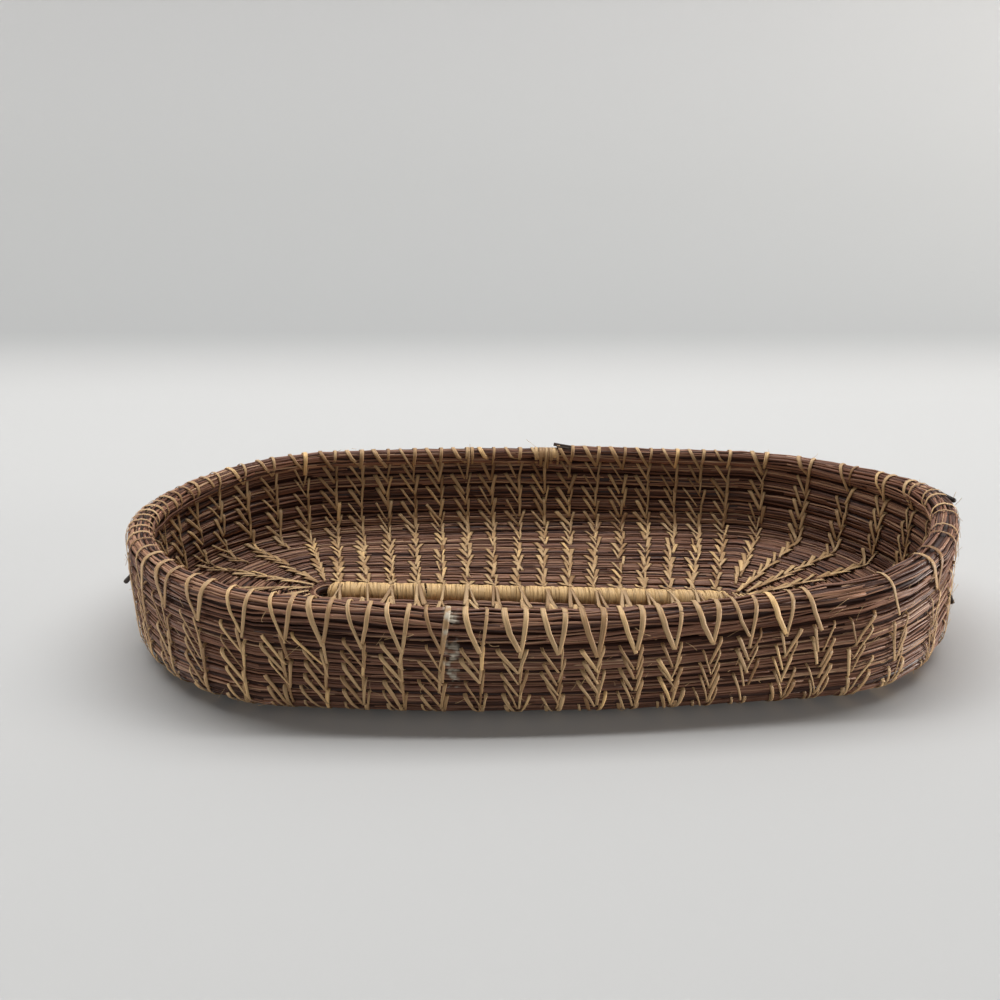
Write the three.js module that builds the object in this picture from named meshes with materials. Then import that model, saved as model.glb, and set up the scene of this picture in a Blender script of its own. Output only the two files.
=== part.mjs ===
// Oval pine needle basket: a long needle bundle coiled round a straight wrapped start, first flat as the
// floor, then up as the wall, with a thicker round for the rim, all bound by columns of raffia stitches.
// Millimetres, +Z up, +X along the basket, origin at the middle of the base.

import * as THREE from "three";

// Start of the coil: a straight bundle and the raffia wound round it
const START_LENGTH = 150.6;
const CORE_RADIUS = 2.4;
const WRAP_THICKNESS = 0.6;
const WRAP_TURNS = 24;
const START_LIFT = 0.4;

// Coiled bundle: rows on the floor, round the corner and up the wall
const BUNDLE_THICKNESS = 5.4;
const FLOOR_ROWS = 9;
const FLOOR_PITCH = 5.95;
const WALL_ROWS = 6;
const WALL_PITCH = 5.15;
const CORNER_RADIUS = 6.5;

// Rim: one thicker round, a little inside the line of the wall, with its two ends at the back
const RIM_RADIUS = 4.75;
const RIM_INSET = 1.9;
const RIM_END_STEP = 1.2;
const RIM_JOIN = 1.75;

// Plan: how far the long sides bow out and the rim dips at mid side, and how the columns fan out
const SIDE_BOW = 11.2;
const SIDE_DIP = 4.0;
const FAN_ANGLE = THREE.MathUtils.degToRad(9);

// Raffia stitches
const STRAND_THICKNESS = 0.5;
const STRAND_WIDTH = 2.4;
const COLUMNS_PER_SIDE_STEP = 4;

// Room between pieces, between rows and between the two ends of a parted bundle
const CLEARANCE = 0.3;
const ROW_GAP = 0.6;
const SPLICE_GAP = 0.4;

// Steps round one loop
const SIDE_STEPS = 4;
const END_STEPS = 10;
const LOOP_STEPS = 2 * (SIDE_STEPS + END_STEPS);
const WRAP_STEPS = 8;

// Part of the last pass round the right end over which the wall bundle tapers to its tip
const TAPER_STEPS = 6;

// Rows at which an end column starts, every other column further out, where there is room for it
const END_FIRST_ROWS = [1, 3];

// Sizes that follow
const HALF_START = START_LENGTH / 2;
const STRAND_ROOM = STRAND_THICKNESS + 2 * CLEARANCE;
const HALF_THICKNESS = BUNDLE_THICKNESS / 2;
const LAST_FLOOR_LEVEL = FLOOR_ROWS - 1;
const LAST_LEVEL = LAST_FLOOR_LEVEL + WALL_ROWS;
const CLOSING_ROW = LAST_FLOOR_LEVEL + 1;
const FLOOR_HALF_WIDTH = (FLOOR_PITCH - ROW_GAP) / 2;
const WRAP_INNER_RADIUS = (CORE_RADIUS + CLEARANCE) / Math.cos(Math.PI / WRAP_STEPS);
const START_RADIUS = WRAP_INNER_RADIUS + WRAP_THICKNESS;
const FIRST_OFFSET = START_RADIUS + ROW_GAP + FLOOR_HALF_WIDTH;
const CORNER_OFFSET = FIRST_OFFSET + FLOOR_PITCH * LAST_FLOOR_LEVEL;
const WALL_OFFSET = CORNER_OFFSET + CORNER_RADIUS;
const WALL_LENGTH = WALL_PITCH * WALL_ROWS;
const WALL_TOP = HALF_THICKNESS + CORNER_RADIUS + WALL_LENGTH - CORNER_RADIUS * Math.PI / 2;
const DIP_SHARE = SIDE_DIP / (WALL_TOP - HALF_THICKNESS);
const WALL_HALF_WIDTH = (WALL_PITCH - Math.max(WALL_PITCH * DIP_SHARE + ROW_GAP, STRAND_ROOM)) / 2;
const RIM_OFFSET = WALL_OFFSET - RIM_INSET;
const RIM_FLAT_RADIUS = RIM_RADIUS * Math.cos(Math.PI / 6);
const RIM_HEIGHT = WALL_TOP + WALL_HALF_WIDTH + CLEARANCE + RIM_FLAT_RADIUS;
const STRAND_OFFSET = HALF_THICKNESS + CLEARANCE;

// The corner of a bundle's six-sided section lies at this share of its half width, at full thickness
const FLAT_SHARE = 0.42;
// The section turns up late at the foot of the corner, so that no edge dips under the base
const SLOW_TURN = THREE.MathUtils.degToRad(25);

const NEEDLE = new THREE.MeshStandardMaterial({ color: 0x52392a, roughness: 0.8, metalness: 0 });
const RIM_NEEDLE = new THREE.MeshStandardMaterial({ color: 0x6b5040, roughness: 0.8, metalness: 0 });
const RAFFIA = new THREE.MeshStandardMaterial({ color: 0xb49168, roughness: 0.7, metalness: 0 });

const basket = new THREE.Group();

function addPiece(name, geometry, material) {
  const mesh = new THREE.Mesh(geometry, material);
  mesh.name = name;
  basket.add(mesh);
}

function mix(from, to, share) {
  return from + (to - from) * share;
}

// Foot on the start line and direction of one of the fan lines that every row crosses. They run
// counterclockwise: back side from the right, left end, front side from the left, right end.
function fanLine(step) {
  const place = ((step % LOOP_STEPS) + LOOP_STEPS) % LOOP_STEPS;
  const half = SIDE_STEPS + END_STEPS;
  const turned = place >= half ? -1 : 1;
  const local = place % half;
  const along = Math.min(local / SIDE_STEPS, 1);
  const round = Math.max(local - SIDE_STEPS, 0) / END_STEPS;
  const foot = HALF_START * (1 - 2 * along);
  const angle = Math.PI / 2 - FAN_ANGLE * (1 - 2 * along) + (Math.PI - 2 * FAN_ANGLE) * round;
  const direction = new THREE.Vector2(Math.cos(angle), Math.sin(angle)).multiplyScalar(turned);
  const reach = (foot * turned + RIM_OFFSET * direction.x) / (HALF_START + RIM_OFFSET);
  const bulge = 1 - reach * reach;
  return { foot: foot * turned, direction, bulge, stretch: 1 + SIDE_BOW / RIM_OFFSET * bulge };
}

// Level of a row, counted in rows from the first: it climbs by one on each pass round the right end
function levelAt(step) {
  const loop = Math.floor(step / LOOP_STEPS);
  const climb = Math.max(step - loop * LOOP_STEPS - (LOOP_STEPS - END_STEPS), 0) / END_STEPS;
  return loop + climb;
}

// Profile of floor, corner and wall: offset from the start, height, tilt and half width of a row
function profileAt(level) {
  const beyond = Math.max(level - LAST_FLOOR_LEVEL, 0) * WALL_PITCH;
  const turn = Math.min(beyond / CORNER_RADIUS, Math.PI / 2);
  const straight = beyond - turn * CORNER_RADIUS;
  const flat = FIRST_OFFSET + FLOOR_PITCH * Math.min(level, LAST_FLOOR_LEVEL);
  return {
    offset: flat + CORNER_RADIUS * Math.sin(turn),
    height: HALF_THICKNESS + CORNER_RADIUS * (1 - Math.cos(turn)) + straight,
    tilt: turn * Math.min(turn / SLOW_TURN, 1),
    halfWidth: mix(FLOOR_HALF_WIDTH, WALL_HALF_WIDTH, Math.min(beyond / WALL_PITCH, 1)),
  };
}

// How far a height comes down where the long sides dip
function dipAt(height, bulge) {
  return DIP_SHARE * bulge * Math.min(height - HALF_THICKNESS, WALL_TOP - HALF_THICKNESS);
}

// Centre line and section frame of the coil at a whole step
function rowAtStep(step) {
  const line = fanLine(step);
  const last = LAST_LEVEL * LOOP_STEPS + LOOP_STEPS - END_STEPS;
  const taper = Math.max(step - last, 0) / END_STEPS;
  const level = taper > 0 ? LAST_LEVEL : levelAt(step);
  const profile = profileAt(level);
  const lift = profile.halfWidth * taper;
  return {
    line,
    reach: profile.offset * line.stretch,
    height: profile.height + lift - dipAt(profile.height, line.bulge),
    tilt: profile.tilt,
    halfWidth: profile.halfWidth * (1 - taper),
  };
}

// A ring of points round a centre, in the upright plane of a fan line
function ringAt(line, reach, height, corners) {
  return corners.map(([out, up]) => new THREE.Vector3(
    line.foot + line.direction.x * (reach + out),
    line.direction.y * (reach + out),
    height + up,
  ));
}

function bundleCorners(row) {
  const flat = row.halfWidth * FLAT_SHARE;
  const corners = [
    [row.halfWidth, 0], [flat, -HALF_THICKNESS], [-flat, -HALF_THICKNESS],
    [-row.halfWidth, 0], [-flat, HALF_THICKNESS], [flat, HALF_THICKNESS],
  ];
  const cos = Math.cos(row.tilt);
  const sin = Math.sin(row.tilt);
  return corners.map(([along, across]) => [along * cos - across * sin, along * sin + across * cos]);
}

// Ring of a path at any step: between two whole steps it lies on the straight chord
function ringBetween(ringOfStep, step) {
  const before = Math.floor(step);
  const share = step - before;
  const first = ringOfStep(before);
  if (share === 0) {
    return first;
  }
  const second = ringOfStep(before + 1);
  return first.map((point, i) => point.clone().lerp(second[i], share));
}

function bundleRing(step) {
  const row = rowAtStep(step);
  return ringAt(row.line, row.reach, row.height, bundleCorners(row));
}

// The rim round: level but for the slight climb that lifts its last end above its first
function rimRing(step) {
  const line = fanLine(step);
  const corners = Array.from({ length: 6 }, (_, i) => [
    RIM_RADIUS * Math.cos(i * Math.PI / 3),
    -RIM_RADIUS * Math.sin(i * Math.PI / 3),
  ]);
  return ringAt(line, RIM_OFFSET * line.stretch, rimHeight(line, step), corners);
}

function rimHeight(line, step) {
  const climb = Math.max(step - RIM_JOIN - LOOP_STEPS + END_STEPS / 2, 0) / (END_STEPS / 2);
  return RIM_HEIGHT - SIDE_DIP * line.bulge + RIM_END_STEP * climb;
}

// Rings of a path from one step to another, with its two ends cut back by a length
function ringsFrom(ringOfStep, start, end, cutStart, cutEnd) {
  const rings = [];
  const firstChord = ringBetween(ringOfStep, start)[0].distanceTo(ringOfStep(Math.floor(start) + 1)[0]);
  const lastWhole = Math.ceil(end) - 1;
  const lastChord = ringOfStep(lastWhole)[0].distanceTo(ringBetween(ringOfStep, end)[0]);
  const first = start + cutStart / firstChord * (Math.floor(start) + 1 - start);
  const last = end - cutEnd / lastChord * (end - lastWhole);
  rings.push(ringBetween(ringOfStep, first));
  for (let step = Math.floor(first) + 1; step < last; step += 1) {
    rings.push(ringOfStep(step));
  }
  rings.push(ringBetween(ringOfStep, last));
  return rings;
}

// Closed tube through rings of equal point counts, with flat ends
function tube(rings) {
  const sides = rings[0].length;
  const positions = rings.flat().flatMap((point) => [point.x, point.y, point.z]);
  const faces = [];
  for (let ring = 0; ring < rings.length - 1; ring += 1) {
    for (let side = 0; side < sides; side += 1) {
      const a = ring * sides + side;
      const b = ring * sides + (side + 1) % sides;
      faces.push(a, b, b + sides, a, b + sides, a + sides);
    }
  }
  const lastRing = (rings.length - 1) * sides;
  for (let side = 1; side < sides - 1; side += 1) {
    faces.push(0, side + 1, side);
    faces.push(lastRing, lastRing + side, lastRing + side + 1);
  }
  const geometry = new THREE.BufferGeometry();
  geometry.setAttribute("position", new THREE.Float32BufferAttribute(positions, 3));
  geometry.setIndex(faces);
  return geometry;
}

// Corners of a ring and the middles of its sides
function outlinePoints(ring) {
  return ring.flatMap((point, i) => {
    const next = ring[(i + 1) % ring.length];
    return [point, point.clone().lerp(next, 0.5)];
  });
}

// Least distance between rings that lie one loop apart, measured on points of their outlines
function leastSelfGap(rings, loopSteps) {
  let least = Infinity;
  for (let i = 0; i + loopSteps < rings.length; i += 1) {
    const near = outlinePoints(rings[i]);
    const far = outlinePoints(rings[i + loopSteps]);
    for (const point of near) {
      least = Math.min(least, ...far.map((other) => point.distanceTo(other)));
    }
  }
  return least;
}

function printGap(name, rings, loopSteps) {
  console.log(`${name}: least gap to itself ${leastSelfGap(rings, loopSteps).toFixed(2)} mm`);
}

// Straight start bundle, lying along X
function makeStartCore() {
  const shape = new THREE.CylinderGeometry(CORE_RADIUS, CORE_RADIUS, START_LENGTH, WRAP_STEPS);
  shape.rotateZ(Math.PI / 2);
  shape.translate(0, 0, START_RADIUS + START_LIFT);
  addPiece("start_core", shape, NEEDLE);
}

// Raffia wound round the start: a flat strand on a helix, its turns side by side
function makeStartWrap() {
  const lead = START_LENGTH / (WRAP_TURNS + 1);
  const halfWidth = (lead - ROW_GAP) / 2;
  const rings = [];
  for (let step = 0; step <= WRAP_TURNS * WRAP_STEPS; step += 1) {
    const angle = 2 * Math.PI * step / WRAP_STEPS;
    const middle = -HALF_START + lead / 2 + lead * step / WRAP_STEPS;
    const section = [
      [middle - halfWidth, WRAP_INNER_RADIUS], [middle + halfWidth, WRAP_INNER_RADIUS],
      [middle + halfWidth, START_RADIUS], [middle - halfWidth, START_RADIUS],
    ];
    rings.push(section.map(([along, radius]) => new THREE.Vector3(
      along,
      radius * Math.cos(angle),
      START_RADIUS + START_LIFT + radius * Math.sin(angle),
    )));
  }
  printGap("start_wrap", rings, WRAP_STEPS);
  addPiece("start_wrap", tube(rings), RAFFIA);
}

// Steps at which the bundle leaves the start, the wall takes over from the floor, and the wall tapers out
const FLOOR_START = -END_STEPS / 2;
const FLOOR_END = LAST_FLOOR_LEVEL * LOOP_STEPS + LOOP_STEPS - END_STEPS;
const WALL_END = LAST_LEVEL * LOOP_STEPS + LOOP_STEPS - END_STEPS + TAPER_STEPS;

function makeCoils() {
  const floor = ringsFrom(bundleRing, FLOOR_START, FLOOR_END, 0, SPLICE_GAP / 2);
  printGap("floor_coil", floor, LOOP_STEPS);
  addPiece("floor_coil", tube(floor), NEEDLE);

  const wall = ringsFrom(bundleRing, FLOOR_END, WALL_END, SPLICE_GAP / 2, 0);
  printGap("wall_coil", wall, LOOP_STEPS);
  addPiece("wall_coil", tube(wall), NEEDLE);

  const rim = ringsFrom(rimRing, RIM_JOIN, RIM_JOIN + LOOP_STEPS, SPLICE_GAP, SPLICE_GAP);
  addPiece("rim_coil", tube(rim), RIM_NEEDLE);
}

// Upright plane of a stitch column that crosses the chord after a step, and the rows it meets there
function columnPlane(step, share) {
  const before = fanLine(step);
  const after = fanLine(step + 1);
  const foot = new THREE.Vector2(mix(before.foot, after.foot, share), 0);
  const direction = before.direction.clone().multiplyScalar(before.stretch)
    .lerp(after.direction.clone().multiplyScalar(after.stretch), share).normalize();
  const reachOf = (first, second) => {
    const start = before.direction.clone().multiplyScalar(first);
    const end = after.direction.clone().multiplyScalar(second);
    return start.lerp(end, share).dot(direction);
  };
  const rowOfLoop = (loop) => {
    const first = rowAtStep(loop * LOOP_STEPS + step);
    const second = rowAtStep(loop * LOOP_STEPS + step + 1);
    const tilt = mix(first.tilt, second.tilt, share);
    return {
      centre: new THREE.Vector2(reachOf(first.reach, second.reach), mix(first.height, second.height, share)),
      along: new THREE.Vector2(Math.cos(tilt), Math.sin(tilt)),
      inward: new THREE.Vector2(-Math.sin(tilt), Math.cos(tilt)),
      halfWidth: mix(first.halfWidth, second.halfWidth, share),
    };
  };
  const turn = step + share < RIM_JOIN ? LOOP_STEPS : 0;
  const rim = new THREE.Vector2(
    reachOf(RIM_OFFSET * before.stretch, RIM_OFFSET * after.stretch),
    mix(rimHeight(before, step + turn), rimHeight(after, step + 1 + turn), share),
  );
  return { foot, direction, rowOfLoop, rim };
}

// A point beside a row: along its line of rows, and inward from its middle
function beside(row, along, inward) {
  return row.centre.clone().addScaledVector(row.along, along).addScaledVector(row.inward, inward);
}

// The place between two rows
function between(row, next) {
  return {
    centre: row.centre.clone().lerp(next.centre, 0.5),
    along: row.along.clone().lerp(next.along, 0.5).normalize(),
    inward: row.inward.clone().lerp(next.inward, 0.5).normalize(),
  };
}

// Five corners of the strand round the rim, from its inner underside over the top to its outer side
function roundRim(rim, radius) {
  return [4, 3, 2, 1, 0].map((sixth) => new THREE.Vector2(
    rim.x + radius * Math.cos(sixth * Math.PI / 3),
    rim.y + radius * Math.sin(sixth * Math.PI / 3),
  ));
}

// One stitch column: hooked behind its first row, over the floor, up the inside, over the rim, down the
// outside and back in between two rows of the corner
function makeStitch(name, step, share, firstRow) {
  const { foot, direction, rowOfLoop, rim } = columnPlane(step, share);
  const near = STRAND_OFFSET;
  const far = STRAND_OFFSET + STRAND_THICKNESS;
  const rimNear = RIM_RADIUS + CLEARANCE / Math.cos(Math.PI / 6);
  const rimFar = rimNear + STRAND_THICKNESS / Math.cos(Math.PI / 6);
  const first = rowOfLoop(firstRow);
  const floorEnd = rowOfLoop(LAST_FLOOR_LEVEL);
  const gap = between(rowOfLoop(CLOSING_ROW), rowOfLoop(CLOSING_ROW + 1));
  const lowWall = rowOfLoop(CLOSING_ROW + 1);
  const midWall = rowOfLoop(CLOSING_ROW + 2);
  const highWall = rowOfLoop(LAST_LEVEL - 1);
  const half = STRAND_THICKNESS / 2;
  const hook = -first.halfWidth - ROW_GAP / 2;
  const hookEnd = HALF_THICKNESS / 2;

  const outline = [
    beside(first, hook - half, hookEnd),
    beside(first, hook - half, far),
    beside(floorEnd, 0, far),
    beside(gap, 0, far),
    beside(midWall, 0, far),
    beside(highWall, 0, far),
    ...roundRim(rim, rimFar),
    beside(midWall, 0, -far),
    beside(lowWall, 0, -far),
    beside(gap, -half, -far),
    beside(gap, -half, near),
    beside(floorEnd, 0, near),
    beside(first, hook + half, near),
    beside(first, hook + half, hookEnd),
  ];
  const inside = [
    beside(gap, half, near),
    beside(midWall, 0, near),
    beside(highWall, 0, near),
    ...roundRim(rim, rimNear),
    beside(midWall, 0, -near),
    beside(lowWall, 0, -near),
    beside(gap, half, -near),
  ];
  const shape = new THREE.Shape(outline);
  // The hole runs the other way round to the outline
  shape.holes.push(new THREE.Path(inside.reverse()));
  const geometry = new THREE.ExtrudeGeometry(shape, { depth: STRAND_WIDTH, bevelEnabled: false });
  geometry.translate(0, 0, -STRAND_WIDTH / 2);
  const outward = new THREE.Vector3(direction.x, direction.y, 0);
  const up = new THREE.Vector3(0, 0, 1);
  const across = outward.clone().cross(up);
  const place = new THREE.Matrix4().makeBasis(outward, up, across).setPosition(foot.x, foot.y, 0);
  addPiece(name, geometry.applyMatrix4(place), RAFFIA);
}

function numbered(name, number) {
  return `${name}_${String(number).padStart(2, "0")}`;
}

// Columns of one long side, evenly spread over its chords
function makeSideStitches(name, firstStep) {
  for (let column = 0; column < SIDE_STEPS * COLUMNS_PER_SIDE_STEP; column += 1) {
    const step = firstStep + Math.floor(column / COLUMNS_PER_SIDE_STEP);
    const share = (column % COLUMNS_PER_SIDE_STEP + 0.5) / COLUMNS_PER_SIDE_STEP;
    makeStitch(numbered(name, column + 1), step, share, 0);
  }
}

// Columns of one round end, one in the middle of each chord
function makeEndStitches(name, firstStep) {
  for (let column = 0; column < END_STEPS; column += 1) {
    makeStitch(numbered(name, column + 1), firstStep + column, 0.5, END_FIRST_ROWS[column % 2]);
  }
}

makeStartCore();
makeStartWrap();
makeCoils();
makeSideStitches("stitch_back", 0);
makeEndStitches("stitch_left", SIDE_STEPS);
makeSideStitches("stitch_front", SIDE_STEPS + END_STEPS);
makeEndStitches("stitch_right", 2 * SIDE_STEPS + END_STEPS);

export default basket;
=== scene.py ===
# %% [markdown]
# This is an oval basket coiled from pine needles and stitched with raffia, dressed for a photograph.
# The frame holds its plain solids: a bundle coiled round a straight start, parted into floor, wall and rim,
# and one solid for each column of stitches. Each solid is replaced here by what it is on the real basket:
# loose needles, flat strands, a wound bar. They could be modelled by hand, but there are thousands of thin
# strands, so all of them are worked out as arrays of points.

# %% Frame
import bpy
import numpy as np
from mathutils import Matrix, Vector


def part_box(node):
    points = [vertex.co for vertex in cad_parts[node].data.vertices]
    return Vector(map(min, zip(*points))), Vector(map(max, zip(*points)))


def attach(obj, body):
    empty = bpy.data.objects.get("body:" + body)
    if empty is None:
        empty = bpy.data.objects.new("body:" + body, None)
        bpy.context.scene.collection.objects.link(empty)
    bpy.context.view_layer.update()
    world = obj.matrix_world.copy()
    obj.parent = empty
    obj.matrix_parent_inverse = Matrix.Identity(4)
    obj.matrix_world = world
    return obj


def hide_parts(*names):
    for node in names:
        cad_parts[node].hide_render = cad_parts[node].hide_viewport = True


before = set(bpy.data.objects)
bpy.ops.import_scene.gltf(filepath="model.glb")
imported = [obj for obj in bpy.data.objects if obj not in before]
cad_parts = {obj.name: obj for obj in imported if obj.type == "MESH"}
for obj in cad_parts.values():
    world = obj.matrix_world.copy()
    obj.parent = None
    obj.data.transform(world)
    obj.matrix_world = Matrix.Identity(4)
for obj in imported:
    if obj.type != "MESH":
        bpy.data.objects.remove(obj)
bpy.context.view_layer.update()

MM = 0.001
print("frame nodes", len(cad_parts))

# %% [markdown]
# Columns of stitches divide the basket like the ribs of a leaf: side by side along the sides, turning round
# the ends. Every strand could be given its own route, but two numbers name every place. Column counts the
# stitch columns round the oval, counterclockwise from the right end of the back side. Level counts the rows
# outwards, over the floor and up the wall. Sizes are in millimetres and become metres when a mesh is made.

# %% Columns round the oval
COLUMNS = 52
SIDE_COLUMNS = 16
END_COLUMNS = 10
FAN_ANGLE = np.radians(9)
HALF_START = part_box("start_core")[1].x / MM
RIM_OFFSET = 59.0


def fan_line(column):
    """Upright plane at a column: its foot on the start line, direction outwards and place along the oval."""
    # Both move evenly along a side; round an end the foot stays and the direction turns evenly
    place = np.mod(column, COLUMNS)
    turned = np.where(place >= COLUMNS / 2, -1.0, 1.0)
    local = np.mod(place, COLUMNS / 2)
    along = np.minimum(local / SIDE_COLUMNS, 1.0)
    round_end = np.maximum(local - SIDE_COLUMNS, 0.0) / END_COLUMNS
    foot = turned * HALF_START * (1 - 2 * along)
    angle = np.pi / 2 - FAN_ANGLE * (1 - 2 * along) + (np.pi - 2 * FAN_ANGLE) * round_end
    out = np.stack([turned * np.cos(angle), turned * np.sin(angle)], -1)
    reach = (foot + RIM_OFFSET * out[..., 0]) / (HALF_START + RIM_OFFSET)
    return foot, out, reach


def upright(foot, out, reach, height):
    """Points in the upright planes: so far out from the foot, so far up."""
    return np.stack([foot + out[..., 0] * reach, out[..., 1] * reach, height], -1)


print("columns", COLUMNS, "round a start of", round(2 * HALF_START, 1), "mm")

# %% [markdown]
# No two rounds of a hand-made basket are alike: the rim rises and falls, the wall swells, the start lies
# askew. Random noise would look restless, so the unevenness is a few slow waves round the oval, each with an
# order, a cosine part and a sine part. The start is turned and moved by a parabola along its length, and the
# floor rows follow it less and less until the corner.

# %% Unevenness
LAST_FLOOR_LEVEL = 8
HEIGHT_WAVES = ((1, 1.3, -0.15), (2, 1.05, -0.4), (3, 0.95, -2.1))
REACH_WAVES = ((1, -0.6, -0.35), (2, -0.65, 0.95), (3, 0.45, 0.35))
START_SKEW = 0.075
START_SHIFT = (-3.7, -4.0, -1.8)


def waves(reach, out, orders):
    """Sum of a few cosines and sines of the angle round the oval."""
    angle = np.arctan2(out[..., 1], reach)
    return sum(
        cosine * np.cos(order * angle) + sine * np.sin(order * angle) for order, cosine, sine in orders
    )


def behind(out):
    """One at the middle of the back, falling to zero at the front: a squared share of the direction's y."""
    return ((1 + out[..., 1]) / 2) ** 2


def skewed(points, level):
    """Points moved with the start: turned in proportion to x, shifted by a parabola of x, less by level."""
    share = np.clip(1 - level / LAST_FLOOR_LEVEL, 0, 1)
    way = np.clip(points[..., 0] / HALF_START, -1, 1)
    shift = START_SHIFT[0] + START_SHIFT[1] * way + START_SHIFT[2] * way ** 2
    moved = np.stack([shift, -START_SKEW * points[..., 0], 0 * way], -1)
    return points + moved * share[..., None]


_, fan_out, fan_reach = fan_line(np.arange(COLUMNS))
print("waves of the rim", np.ptp(waves(fan_reach, fan_out, HEIGHT_WAVES)).round(1), "mm from low to high")

# %% [markdown]
# The rim is the last round, a thicker bundle on top of the wall. It dips along the long sides, and at the
# back, where its two ends are lapped, it is thinner and its middle lies higher. It could be shaped after the
# wall, but the rows of the wall have to end under it, so its height comes first.

# %% Height of the rim
RIM_HEIGHT = 35.9
RIM_HALF_HEIGHT = 5.0
RIM_THINNING = 0.36
SIDE_DIP = 4.0


def rim_height(column):
    """Height of the rim's middle, dipped by a parabola over the sides, and its half height, less behind."""
    _, out, reach = fan_line(column)
    thin = RIM_THINNING * behind(out)
    middle = RIM_HEIGHT + waves(reach, out, HEIGHT_WAVES) - SIDE_DIP * (1 - reach ** 2)
    return middle + RIM_HALF_HEIGHT * thin, RIM_HALF_HEIGHT * (1 - thin)


rim_top = sum(rim_height(np.arange(COLUMNS)))
print("top of the rim from", rim_top.min().round(1), "to", rim_top.max().round(1), "mm")

# %% [markdown]
# The floor and the wall are one bundle that goes round and round, fifteen rows from the start to the rim. A
# spiral curve could be drawn and swept, but the stitches have to know where each row lies. So the rows are a
# surface over column and level: a flat floor, an arc for the corner, then up to the rim. The coil climbs by
# one level on each pass round the right end, which makes a spiral of it.

# %% Rows of floor and wall
FIRST_OFFSET = 6.8
FLOOR_PITCH = 5.95
WALL_PITCH = 5.15
LAST_LEVEL = 14
CORNER_RADIUS = 6.5
FLOOR_HEIGHT = 3.05
WALL_LENGTH = WALL_PITCH * (LAST_LEVEL - LAST_FLOOR_LEVEL)
WALL_HEIGHT = CORNER_RADIUS + WALL_LENGTH - CORNER_RADIUS * np.pi / 2
TOP_ROW_HALF = 1.5
SIDE_BOW = 11.2
BACK_LEAN = 6.0
FOOT_WAVE = 0.3


def climb(column):
    """Level that the coil has reached at a column: one more after each pass round the right end."""
    loop = np.floor(column / COLUMNS)
    passed = column - loop * COLUMNS - (COLUMNS - END_COLUMNS)
    return loop + np.clip(passed / END_COLUMNS, 0, 1)


def row_centre(column, level):
    """Middle of a row: flat floor, then an arc, then straight up to the rim, widened at the sides."""
    foot, out, reach = fan_line(column)
    beyond = np.maximum(level - LAST_FLOOR_LEVEL, 0) * WALL_PITCH
    turn = np.minimum(beyond / CORNER_RADIUS, np.pi / 2)
    flat = FIRST_OFFSET + FLOOR_PITCH * np.minimum(level, LAST_FLOOR_LEVEL)
    rise = CORNER_RADIUS * (1 - np.cos(turn)) + beyond - turn * CORNER_RADIUS
    share = rise / WALL_HEIGHT
    middle, rim_half = rim_height(column)
    top = middle - rim_half - TOP_ROW_HALF
    offset = (flat + CORNER_RADIUS * np.sin(turn)) * (1 + SIDE_BOW / RIM_OFFSET * (1 - reach ** 2))
    uneven = waves(reach, out, REACH_WAVES) * (FOOT_WAVE + (1 - FOOT_WAVE) * share)
    uneven = uneven - BACK_LEAN * behind(out) * (1 - share)
    height = FLOOR_HEIGHT + (top - FLOOR_HEIGHT) * share
    offset = offset + uneven * np.clip(level / LAST_FLOOR_LEVEL, 0, 1)
    return skewed(upright(foot, out, offset, height), level)


print("rows", LAST_LEVEL + 1, "of which on the wall", LAST_LEVEL - LAST_FLOOR_LEVEL)

# %% [markdown]
# What lies on the basket needs directions as well as places. They could be worked out by hand for floor,
# corner and wall, but stepping half a row back and on over the surface gives them everywhere. A line is five
# values at each column: middle, direction to the next row, direction inwards, and the half sizes along both.
# The coil and the rim are two such lines, so one function can fill both with needles.

# %% Lines of coil and rim
BUNDLE_HALF = 2.5
LAST_TAPER = 0.9
RIM_RADIUS = 4.4
RIM_BACK_SHIFT = 1.5
RIM_JOIN = 7.0
RIM_END_STEP = 1.2


def unit(vectors):
    """Vectors divided by their lengths."""
    return vectors / np.maximum(np.linalg.norm(vectors, axis=-1, keepdims=True), 1e-9)


def shell(column, level):
    """The five values on the surface of rows, from the step between half a row back and half a row on."""
    step = row_centre(column, level + 0.5) - row_centre(column, level - 0.5)
    along = unit(step)
    out = fan_line(column)[1]
    outward = (along[..., :2] * out).sum(-1)
    inward = upright(0, out, -along[..., 2], outward)
    half = np.linalg.norm(step, axis=-1) / 2
    return row_centre(column, level), along, inward, half, np.full_like(half, BUNDLE_HALF)


def coil_line(column):
    """The five values at the level that the coil has reached, drawn thin in its last pass under the rim."""
    centre, along, inward, half, deep = shell(column, np.minimum(climb(column), LAST_LEVEL))
    taper = np.clip(climb(column) - LAST_LEVEL, 0, LAST_TAPER)
    return centre + along * (half * taper)[..., None], along, inward, half * (1 - taper), deep


def rim_line(column):
    """The five values of the rim: a bowed, wavy oval at the rim's height, which climbs to its last end."""
    foot, out, reach = fan_line(column)
    last_climb = np.clip((column - RIM_JOIN - COLUMNS + SIDE_COLUMNS) / SIDE_COLUMNS, 0, 1)
    height, half = rim_height(column)
    height = height + RIM_END_STEP * last_climb
    offset = RIM_OFFSET + SIDE_BOW * (1 - reach ** 2) + waves(reach, out, REACH_WAVES)
    offset = offset + RIM_BACK_SHIFT * behind(out)
    inward = upright(0, out, -1, np.zeros_like(height))
    up = upright(0, out, 0, np.ones_like(height))
    return upright(foot, out, offset, height), up, inward, half, RIM_RADIUS * half / RIM_HALF_HEIGHT


print("oval", round(2 * (HALF_START + RIM_OFFSET + RIM_RADIUS)), "mm long at the rim")

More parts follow.
